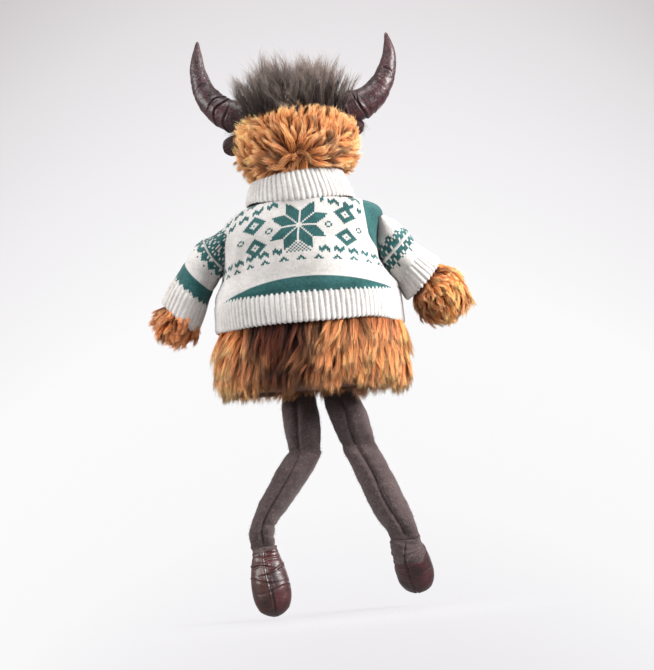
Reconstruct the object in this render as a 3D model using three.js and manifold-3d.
// Highland cow shelf sitter: a soft stuffed figure in a knitted jumper, sitting with
// its long felt legs hanging over the edge it sits on.
//
// Millimetres, +Z up. The origin is the middle of the flat seat, the figure looks
// along -Y, and its own left side is +X. Every soft piece is lofted from rings: a
// lathe whose vertices are placed ring by ring on a path.

import * as THREE from 'three';
import { mergeVertices } from 'three/addons/utils/BufferGeometryUtils.js';
import Module from 'manifold-3d';

const wasm = await Module();
wasm.setup();

// ---------------------------------------------------------------- dimensions
const GAP = 0.5;                 // clearance between neighbouring soft pieces
const FUR = 6;                   // fur fabric: backing and the dense foot of the pile
const KNIT = 3;                  // jumper fabric
const FELT = 1.8;                // leg felt
const HIDE = 1.6;                // leatherette of horns, hooves and ears

const NECK_Z = 199;              // plane in which head and torso are sewn together
const NECK_R = 34;

const HEM_Z = [61, 97];          // ribbed hem of the jumper
const COLLAR_Z = [188, 214.5];   // rolled collar

const SHOULDER = [87, 0, 152];   // arm pivot, mirrored for the right arm
const ARM_PATH = {               // middle line of each arm, from its pivot to the hand
  left: [[86, 0, 152], [98, 0, 141], [112, 0, 124], [124, 0, 104], [136, 0, 82], [146, 0, 66]],
  right: [[-86, 0, 152], [-94.5, 0, 138], [-105.5, 0, 123], [-115, 0, 112], [-125, 0, 101], [-135, 0, 83], [-141.5, 0, 64]],
};

const HIP = [21.5, -65, -1.5];   // left hip seam, mirrored for the right leg
const THIGH_LEN = 62;
const KNEE_L = [19.5, -65, -63.5];
const KNEE_R = [-37, -65, -61.5];
const ANKLE_L = [71, -65, -158.5];
const ANKLE_R = [-78, -65, -161];
const HOOF_LEN = 75;

// ---------------------------------------------------------------- materials
const mat = (color, roughness, metalness = 0) =>
  new THREE.MeshStandardMaterial({ color, roughness, metalness });
const ginger = () => mat(0xb5713f, 0.95);
const taupe = () => mat(0x6b5f59, 0.95);
const cream = () => mat(0xe8e0d4, 0.95);
const felt = () => mat(0x6e6058, 0.95);
const burgundy = () => mat(0x3d1a1c, 0.3);
const fibre = () => mat(0xf2f1ee, 1.0);
const black = () => mat(0x120c0a, 0.15);

// ---------------------------------------------------------------- geometry
// A ring is { c: centre, u: first half axis, v: second half axis } with vectors in mm.
// A ring whose half axes are zero is a pole.
function loft(rings, segs) {
  const profile = rings.map((_, j) => new THREE.Vector2(1, j));
  const g = new THREE.LatheGeometry(profile, segs);
  g.deleteAttribute('normal');
  g.deleteAttribute('uv');
  const p = g.attributes.position;
  const n = rings.length;
  for (let i = 0; i <= segs; i++) {
    const a = (2 * Math.PI * (i % segs)) / segs;
    for (let j = 0; j < n; j++) {
      const { c, u, v } = rings[j];
      const cs = Math.cos(a), sn = Math.sin(a);
      p.setXYZ(i * n + j, c[0] + cs * u[0] + sn * v[0], c[1] + cs * u[1] + sn * v[1],
        c[2] + cs * u[2] + sn * v[2]);
    }
  }
  return tidy(g);
}

// Merges shared vertices, drops flat triangles and turns the faces outwards.
function tidy(geometry) {
  const g = mergeVertices(geometry, 1e-4);
  const ix = g.index.array;
  const p = g.attributes.position;
  const keep = [];
  let volume = 0;
  const A = new THREE.Vector3(), B = new THREE.Vector3(), C = new THREE.Vector3();
  for (let t = 0; t < ix.length; t += 3) {
    const [a, b, c] = [ix[t], ix[t + 1], ix[t + 2]];
    if (a === b || b === c || a === c) continue;
    keep.push(a, b, c);
    A.fromBufferAttribute(p, a);
    B.fromBufferAttribute(p, b);
    C.fromBufferAttribute(p, c);
    volume += A.dot(B.cross(C));
  }
  if (volume < 0) {
    for (let t = 0; t < keep.length; t += 3) [keep[t], keep[t + 1]] = [keep[t + 1], keep[t]];
  }
  g.setIndex(keep);
  return g;
}

function toSolid(g) {
  return new wasm.Manifold(new wasm.Mesh({
    numProp: 3,
    vertProperties: new Float32Array(g.attributes.position.array),
    triVerts: new Uint32Array(g.index.array),
  }));
}

function fromSolid(s) {
  const m = s.getMesh();
  const g = new THREE.BufferGeometry();
  g.setAttribute('position', new THREE.BufferAttribute(new Float32Array(m.vertProperties), 3));
  g.setIndex(new THREE.BufferAttribute(new Uint32Array(m.triVerts), 1));
  return g;
}

function cut(g, ...tools) {
  let s = toSolid(g);
  for (const t of tools) s = s.subtract(toSolid(t));
  return fromSolid(s);
}

// Rings stacked along Z: rows of [z, half width, half depth, centre y, centre x].
const stack = (rows) => rows.map(([z, a, b, cy = 0, cx = 0]) =>
  ({ c: [cx, cy, z], u: [a, 0, 0], v: [0, b, 0] }));

// Linear interpolation in a table of rows [s, ...values].
function lookup(table, s) {
  if (s <= table[0][0]) return table[0].slice(1);
  for (let i = 1; i < table.length; i++) {
    if (s <= table[i][0]) {
      const k = (s - table[i - 1][0]) / (table[i][0] - table[i - 1][0]);
      return table[i].slice(1).map((v, j) => table[i - 1][j + 1] * (1 - k) + v * k);
    }
  }
  return table[table.length - 1].slice(1);
}

// Rings along a path in a plane of constant Y. rows: [s in mm along the path,
// half width in the plane, half depth along Y]. Past the ends the path goes on straight.
function along(points, rows) {
  const curve = points.length === 2
    ? new THREE.LineCurve3(new THREE.Vector3(...points[0]), new THREE.Vector3(...points[1]))
    : new THREE.CatmullRomCurve3(points.map((q) => new THREE.Vector3(...q)), false, 'centripetal');
  const L = curve.getLength();
  return rows.map(([s, a, b]) => {
    const k = Math.min(Math.max(s / L, 0), 1);
    const c = curve.getPointAt(k);
    const t = curve.getTangentAt(k);
    c.addScaledVector(t, s - k * L);
    const u = new THREE.Vector3(-t.z, 0, t.x);
    return { c: c.toArray(), u: u.multiplyScalar(a).toArray(), v: [0, b, 0] };
  });
}

const root = new THREE.Group();
function add(name, geometry, material, parent = root) {
  const mesh = new THREE.Mesh(geometry, material);
  mesh.name = name;
  parent.add(mesh);
  return mesh;
}

// ---------------------------------------------------------------- torso
// The right arm pulls the figure's waist over to its left: [z, centre x].
const SWAY = [[0, 0], [97, 0.5], [109, 3], [128, 5.2], [145, 5], [165, 2], [182, 0], [400, 0]];
const swayed = (rows) => rows.map(([z, a, b]) => [z, a, b, 0, lookup(SWAY, z)[0]]);

// Outside of the fur sack: [z, half width, half depth].
const BODY = [
  [0.6, 83, 59], [5, 87, 61.5], [16, 91, 63], [36, 93, 64], [58, 92, 64], [80, 89, 63],
  [100, 82, 61], [110, 79, 59.5], [120, 76.5, 58], [140, 75, 55.5], [158, 71.5, 52], [172, 65, 48], [182, 56, 43.5],
  [191, 44, 38], [NECK_Z - GAP, NECK_R + 1, NECK_R + 1],
];
const bodyInner = BODY.map(([z, a, b], i) => {
  const w = i === 0 ? 2.5 : FUR;
  return [z, a - w, b - w];
});
bodyInner[bodyInner.length - 1] = [NECK_Z - GAP, NECK_R - 3, NECK_R - 3];
add('body_cover', loft(stack(swayed([...BODY, ...bodyInner.reverse(), BODY[0]])), 26), ginger());

add('base_panel', loft(stack([[0, 0, 0], [0, 79.8, 55.8], [2.4, 79.8, 55.8], [2.4, 0, 0]]), 26),
  ginger());

add('weight_bag', loft(stack([
  [3, 0, 0], [3, 54, 36], [7, 62, 42], [14, 63, 43], [20, 56, 38], [22.5, 38, 26], [23, 0, 0],
]), 16), mat(0xd8d2c4, 0.9));

add('body_filling', loft(stack(swayed([
  [24, 0, 0], [24, 70, 45], [34, 85, 56], [58, 84.5, 56.5], [80, 81.5, 55.5], [100, 74.5, 53.5],
  [110, 71.5, 52], [120, 69, 50.5], [140, 67.5, 48], [158, 64, 44.5], [172, 57.5, 40.5], [182, 48, 36],
  [191, 36, 30.5], [196, 29, 29], [196, 0, 0],
])), 20), fibre());

// Jumper body between hem and collar: [z, half width, half depth], outside. Beside the
// arms it stays inside the plane in which the sleeves start.
const JUMPER = [
  [HEM_Z[1] + 0.5, 94, 69], [103, 89, 68], [110, 85, 67], [118, 82, 66], [128, 80.9, 64], [140, 80.7, 61],
  [153, 80.3, 58], [165, 78.5, 54.5], [175, 72.5, 51], [182, 65.5, 48.5], [COLLAR_Z[0] - 0.8, 57, 46],
];
const jumperInner = JUMPER.map(([z, a, b]) => [z, a - KNIT, b - KNIT]);
add('jumper_body', loft(stack(swayed([...JUMPER, ...jumperInner.reverse(), JUMPER[0]])), 26), cream());

const tube = (outer, wall, segs) => {
  const inner = outer.map(([z, a, b, cy = 0]) => [z, a - wall, b - wall, cy]).reverse();
  return loft(stack([...outer, ...inner, outer[0]]), segs);
};
add('jumper_hem', tube([
  [HEM_Z[0], 96.5, 70], [HEM_Z[0] + 3, 98.5, 71.5], [HEM_Z[0] + 18, 98.8, 71.5],
  [HEM_Z[1] - 3, 98, 71], [HEM_Z[1], 96.5, 69.5],
], 4, 26), cream());

// The collar leans in round the neck; above it the head widens over it.
add('jumper_collar', loft(stack([
  [COLLAR_Z[0], 56.5, 47], [COLLAR_Z[0] + 6, 56, 48], [202, 52.5, 47.5], [210, 48.5, 46.8],
  [COLLAR_Z[1], 46.3, 46], [COLLAR_Z[1], 43, 43], [208, 44, 43], [200, 46.5, 42.5],
  [194, 50, 43], [COLLAR_Z[0], 52.5, 43], [COLLAR_Z[0], 56.5, 47],
]), 24), cream());

// ---------------------------------------------------------------- head
const HEAD = [
  [NECK_Z, NECK_R + 1], [208, 36.5], [214.5, 39.5], [221, 46.5], [232, 53.5], [246, 57],
  [262, 57], [273, 53.5], [282, 46], [288, 36], [292, 22], [293.5, 0],
];
const headRows = HEAD.map(([z, r]) => [z, r, r]);
const headInner = [
  [NECK_Z, NECK_R - 3], [208, 31], [216, 34.5], [223, 41], [233, 47.5], [246, 51], [261, 51],
  [271, 47.5], [278, 41], [283, 31], [286.5, 18], [287.5, 0],
].map(([z, r]) => [z, r, r]).reverse();
const headShell = loft(stack([...headRows, ...headInner, headRows[0]]), 24);
// The head a little larger, to trim what is sewn onto it.
const headTool = loft(stack([
  [NECK_Z - 4, 0, 0], [NECK_Z - 4, NECK_R + 1, NECK_R + 1],
  ...HEAD.slice(1, -1).map(([z, r]) => [z + (z > 270 ? 0.4 : 0), r + GAP, r + GAP]),
  [294.2, 0, 0],
]), 24);

// Eyes: a dome with a moulded shank through the fabric, held by a washer inside.
const EYE = { z: 255, angle: 36, r: 6.5 };
const eyeFrame = (side) => {
  const f = (EYE.angle * Math.PI) / 180;
  return { dir: [side * Math.sin(f), -Math.cos(f), 0], yaw: side * f };
};
// A profile of [radius, distance from the head's middle] revolved about the eye's axis.
function eyeTurn(side, rows, segs = 14) {
  const { dir } = eyeFrame(side);
  const u = [-dir[1], dir[0], 0];
  return loft(rows.map(([r, d]) => ({
    c: [dir[0] * d, dir[1] * d, EYE.z], u: [u[0] * r, u[1] * r, 0], v: [0, 0, r],
  })), segs);
}
const eyeHoles = [1, -1].map((s) => eyeTurn(s, [[0, 40], [2.3, 40], [2.3, 70], [0, 70]], 10));
add('head_cover', cut(headShell, ...eyeHoles), ginger());

const headFilling = loft(stack([
  [NECK_Z + 1, 0, 0], [NECK_Z + 1, 29, 29], [208, 30, 30], [216, 33, 33], [224, 40, 40],
  [234, 46, 46], [246, 49.8, 49.8], [261, 50, 50], [270, 46.5, 46.5], [277, 40, 40], [282, 29, 29],
  [285, 16, 16], [286, 0, 0],
]), 18);
const eyePockets = [1, -1].map((s) => eyeTurn(s, [[0, 43.5], [8, 43.5], [8, 60], [0, 60]], 12));
add('head_filling', cut(headFilling, ...eyePockets), fibre());

for (const [side, tag] of [[1, 'left'], [-1, 'right']]) {
  add(`eye_${tag}`, eyeTurn(side, [
    [0, 44.5], [1.7, 44.5], [1.7, 57.5], [EYE.r, 57.8], [EYE.r, 58.6], [5.4, 60.6], [3.2, 62], [0, 62.5],
  ]), black());
  add(`eye_washer_${tag}`, eyeTurn(side, [
    [2.1, 48.3], [6.5, 48.3], [6.5, 50], [2.1, 50], [2.1, 48.3],
  ]), mat(0xe6e6e2, 0.5));
}

// Muzzle, trimmed to the front of the head, and the two nostril patches on it.
const MUZZLE = { y: -60, z: 234, a: 34, b: 31, h: 20 };
const muzzleRows = [];
for (let i = 0; i <= 10; i++) {
  const f = (Math.PI * i) / 10;
  const k = Math.sin(f) ** 0.8;
  muzzleRows.push([MUZZLE.z - MUZZLE.h * Math.cos(f), MUZZLE.a * k, MUZZLE.b * k, MUZZLE.y]);
}
const collarTool = loft(stack([
  [176, 0, 0], [176, 62, 62], [202, 55, 55], [COLLAR_Z[1] + 1.5, 50.5, 50.5], [COLLAR_Z[1] + 1.5, 0, 0],
]), 24);
add('muzzle', cut(loft(stack(muzzleRows), 18), headTool, collarTool), mat(0xa07a5c, 0.9));
for (const [side, tag] of [[1, 'left'], [-1, 'right']]) {
  const rows = [[0, 0], [3.6, 0], [4.6, 0.7], [3.4, 1.7], [0, 2]];
  // The patch's axis points forwards and outwards from the muzzle.
  const f = side * 0.42;
  const d = [Math.sin(f), -Math.cos(f), 0];
  const c0 = [MUZZLE.a * 1.02 * Math.sin(Math.atan2(Math.sin(f) * MUZZLE.b, Math.cos(f) * MUZZLE.a)), 0, 0];
  const reach = 1 / Math.hypot(d[0] / MUZZLE.a, d[1] / MUZZLE.b) + 0.6;
  c0[0] = d[0] * reach;
  c0[1] = MUZZLE.y + d[1] * reach;
  c0[2] = MUZZLE.z;
  add(`nostril_${tag}`, loft(rows.map(([r, h]) => ({
    c: [c0[0] + d[0] * h, c0[1] + d[1] * h, c0[2]], u: [-d[1] * r, d[0] * r, 0], v: [0, 0, r * 0.75],
  })), 14), burgundy());
}

// Horns: leatherette cones bent out and up, open where they are sewn to the head.
const HORN_PATH = {
  left: [[44, 0, 285], [55, 0, 286], [69, 0, 290], [83, 0, 301], [92.5, 0, 318], [96, 0, 335], [95.5, 0, 350], [94, 0, 364.5]],
  right: [[-44, 0, 285], [-58, 0, 286.5], [-75, 0, 290.5], [-91, 0, 303], [-100, 0, 319], [-104.3, 0, 334], [-104.5, 0, 346], [-103, 0, 357]],
};
const HORN_R = [[0, 17], [12, 17], [28, 16], [46, 13.6], [64, 11], [82, 8.2], [96, 5.6], [104, 3.4]];
const pathLength = (pts) =>
  new THREE.CatmullRomCurve3(pts.map((q) => new THREE.Vector3(...q)), false, 'centripetal').getLength();
const forelockRows = [
  [276, 0, 0], [276, 30, 28], [282, 50, 47], [292, 55, 51], [304, 53, 50], [316, 46, 43],
  [326, 36, 34], [333, 22, 21], [336, 0, 0],
].map(([z, a, b]) => [z, a, b, -2]);
const hornTools = [];
for (const tag of ['left', 'right']) {
  const path = HORN_PATH[tag];
  const L = pathLength(path);
  const scale = L / 112;
  const R = (s) => lookup(HORN_R, s / scale)[0];
  const at = (s, dr) => [s, Math.max(R(s) + dr, 0.05), Math.max(R(s) + dr, 0.05)];
  const outer = [0, 8, 16, 26, 38, 50, 64, 78, 90, 100, 106].map((q) => at(q * scale, 0));
  const inner = [92, 80, 66, 52, 38, 24, 12, 0].map((q) => at(q * scale, -HIDE));
  const shell = loft(along(path, [...outer, [L, 0, 0], [96 * scale, 0, 0], ...inner, outer[0]]), 12);
  add(`horn_${tag}`, cut(shell, headTool), burgundy());
  const fill = [0, 12, 24, 38, 52, 66, 80].map((q) => at(q * scale, -HIDE - GAP - 0.5));
  add(`horn_filling_${tag}`, cut(loft(along(path, [
    [0, 0, 0], ...fill, [84 * scale, 0, 0],
  ]), 12), headTool), fibre());
  const wide = outer.map(([s, a, b]) => [s, a + GAP, b + GAP]);
  hornTools.push(loft(along(path, [[-2, 0, 0], ...wide, [L + 1, 0, 0]]), 12));
}
add('forelock', cut(loft(stack(forelockRows), 20), headTool, ...hornTools), taupe());

// Ears: small flaps sewn to the side of the head just under the horns.
for (const [side, tag] of [[1, 'left'], [-1, 'right']]) {
  const path = [[side * 55.5, 3, 260], [side * 80, 3, 253]];
  const rows = [[0, 0, 0], [0, 6, 1.6], [5, 8.6, 2], [12, 9.4, 2.2], [18, 7.5, 2], [22.5, 4, 1.5], [24.5, 0, 0]];
  add(`ear_${tag}`, cut(loft(along(path, rows), 14), headTool, ...hornTools), burgundy());
}

// ---------------------------------------------------------------- arms
const SLEEVE = {
  // [distance from the shoulder, outside radius] and where the ribbed cuff starts and ends
  left: { rows: [[0, 19], [20, 19.5], [40, 20], [56, 20.8]], cuff: [56.5, 80, 21.5, 23] },
  right: { rows: [[0, 19.5], [16, 20.5], [28, 21.5], [38, 22]], cuff: [38.5, 63, 22.5, 26] },
};
// Outside radius of each fur arm along its path; the hand swells beyond the cuff.
const ARM_R = {
  left: [[-26, 14.5], [0, 14.5], [30, 15], [56, 15.5], [78, 16.5], [84, 20], [92, 21.5], [98, 19]],
  right: [[-26, 14.5], [0, 14.5], [20, 15], [40, 15.5], [62, 18], [70, 23], [82, 26], [91, 25], [97, 21]],
};
// Half spaces that end every arm piece in the plane of its armhole.
const slab = (side, x) => {
  const g = new THREE.BoxGeometry(60, 120, 160);
  g.deleteAttribute('normal');
  g.deleteAttribute('uv');
  g.translate(side * (x - 30), 0, SHOULDER[2]);
  return tidy(g);
};
for (const [side, tag] of [[1, 'left'], [-1, 'right']]) {
  const line = ARM_PATH[tag];
  const end = pathLength(line);
  const armR = ARM_R[tag];
  const outer = [...armR.map(([s, q]) => [s, q, q]), [end - 3, 12, 12]];
  const inner = armR.map(([s, q]) => [s, q - 4, q - 4]).reverse();
  const cover = loft(along(line, [...outer, [end, 0, 0], [inner[0][0] + 2.5, 0, 0], ...inner, outer[0]]), 12);
  add(`arm_cover_${tag}`, cut(cover, slab(side, SHOULDER[0] + 0.2)), ginger());
  const fill = armR.map(([s, q]) => [s, q - 5.1, q - 5.1]);
  add(`arm_filling_${tag}`, cut(loft(along(line, [[-26, 0, 0], ...fill, [fill[fill.length - 1][0] + 1.5, 0, 0]]), 12),
    slab(side, SHOULDER[0] + 0.2)), fibre());

  const S = SLEEVE[tag];
  const so = [[-34, S.rows[0][1]], ...S.rows].map(([s, q]) => [s, q, q]);
  const si = so.map(([s, q]) => [s, q - KNIT, q - KNIT]).reverse();
  add(`sleeve_${tag}`, cut(loft(along(line, [...so, ...si, so[0]]), 16),
    slab(side, SHOULDER[0])), cream());
  const [c0, c1, q0, q1] = S.cuff;
  add(`cuff_${tag}`, loft(along(line, [
    [c0, q0, q0], [(c0 + c1) / 2, (q0 + q1) / 2, (q0 + q1) / 2], [c1, q1, q1],
    [c1, q1 - 3.4, q1 - 3.4], [c0, q0 - 3.4, q0 - 3.4], [c0, q0, q0],
  ]), 16), cream());
}

// ---------------------------------------------------------------- legs
// Each felt half is pinched flat at its seams, so that it can fold there.
// Rows are [distance from the upper seam, half width, half thickness].
const THIGH = [[1.6, 17, 2.2], [8, 18, 7.2], [16, 19, 12.8], [24, 19.5, 17.5], [31, 19.5, 19], [38, 19.3, 17.5],
  [46, 18.6, 12.8], [54, 17.8, 7], [THIGH_LEN - 1.8, 17, 1.6]];
// Leg rings lie flat, so that both halves end along the level axis they fold about.
function legRings([p, q], rows) {
  const d = new THREE.Vector3(...q).sub(new THREE.Vector3(...p)).normalize();
  return rows.map(([s, a, b]) => ({
    c: [p[0] + d.x * s, p[1] + d.y * s, p[2] + d.z * s], u: [a / Math.abs(d.z), 0, 0], v: [0, b, 0],
  }));
}
const shell = (rows, wall, open) => {
  // Walls all round, open at the seam named by open: 'top' or 'bottom'.
  const inner = rows.filter(([, , b], i) => b > wall + 2.4 || (open === 'top' ? i === 0 : i === rows.length - 1))
    .map(([s, a, b]) => [s, a - wall, Math.max(b - wall, 0.9)]);
  return { outer: rows, inner };
};
function feltTube(points, rows, open, segs) {
  const { outer, inner } = shell(rows, FELT, open);
  const first = outer[0], last = outer[outer.length - 1];
  const seq = open === 'top'
    ? [...outer, [last[0], 0, 0], [inner[inner.length - 1][0] + 0.6, 0, 0], ...inner.slice().reverse(), first]
    : [[first[0], 0, 0], ...outer, ...inner.slice().reverse(), [inner[0][0] - 0.6, 0, 0]];
  return loft(legRings(points, seq), segs);
}
function stuffing(points, rows, wall, segs) {
  const inside = rows.filter(([, , b]) => b > wall + 3.2)
    .map(([s, a, b]) => [s, a - wall - GAP - 1.2, b - wall - GAP - 1.2]);
  const n = inside.length - 1;
  return loft(legRings(points, [[inside[0][0], 0, 0], ...inside, [inside[n][0], 0, 0]]), segs);
}
const legs = [
  { tag: 'left', side: 1, knee: KNEE_L, ankle: ANKLE_L, hoofTurn: [0, 0], hoofLean: 3 },
  { tag: 'right', side: -1, knee: KNEE_R, ankle: ANKLE_R, hoofTurn: [38, 0], hoofLean: -3 },
];
for (const { tag, side, knee, ankle, hoofTurn, hoofLean } of legs) {
  const hip = [side * HIP[0], HIP[1], HIP[2]];
  const L1 = new THREE.Vector3(...hip).distanceTo(new THREE.Vector3(...knee));
  const k1 = L1 / THIGH_LEN;
  const thigh = THIGH.map(([s, a, b], i) => [i === 0 ? s : i === THIGH.length - 1 ? L1 - 1.8 : s * k1, a, b]);
  add(`thigh_${tag}`, feltTube([hip, knee], thigh, 'top', 12), felt());
  add(`thigh_filling_${tag}`, stuffing([hip, knee], thigh, FELT, 12), fibre());

  const L2 = new THREE.Vector3(...knee).distanceTo(new THREE.Vector3(...ankle));
  const shin = [[1.8, 17, 1.6], [9, 17.6, 7.6], [18, 17.8, 12.8], [28, 17.6, 16.4], [40, 17.2, 17], [62, 16.2, 16.2],
    [80, 14.8, 14.6], [92, 13.8, 12.6], [100, 13.4, 8], [L2 - 2.2, 13, 3.2]];
  add(`shin_${tag}`, feltTube([knee, ankle], shin, 'bottom', 12), felt());
  add(`shin_filling_${tag}`, stuffing([knee, ankle], shin, FELT, 12), fibre());

  // Hoof, built hanging straight down from its ankle and then turned about it.
  const H = [[2.2, 12.5, 3.2], [9, 14, 8.4], [18, 16.5, 14], [30, 19, 17.5], [44, 20.5, 18.5], [56, 19.8, 17.5],
    [66, 16, 14], [72, 9, 8]];
  const down = [[0, 0, 0], [0, 0, -HOOF_LEN]];
  const inner = H.map(([s, a, b], i) => [i === H.length - 1 ? s - 2.5 : s, a - HIDE, b - HIDE])
    .reverse();
  const hoof = new THREE.Group();
  hoof.position.set(ankle[0], ankle[1], ankle[2]);
  hoof.rotation.set((-hoofTurn[0] * Math.PI) / 180, (hoofLean * Math.PI) / 180, 0);
  root.add(hoof);
  add(`hoof_${tag}`, loft(along(down, [...H, [HOOF_LEN, 0, 0], [71, 0, 0], ...inner, H[0]]), 12),
    burgundy(), hoof);
  const fill = H.filter(([s]) => s > 8).map(([s, a, b], i, all) =>
    [i === all.length - 1 ? s - 4 : s, a - HIDE - GAP - 1, b - HIDE - GAP - 1]);
  add(`hoof_filling_${tag}`, loft(along(down, [[fill[0][0], 0, 0], ...fill, [69, 0, 0]]), 12),
    fibre(), hoof);
}

export default root;
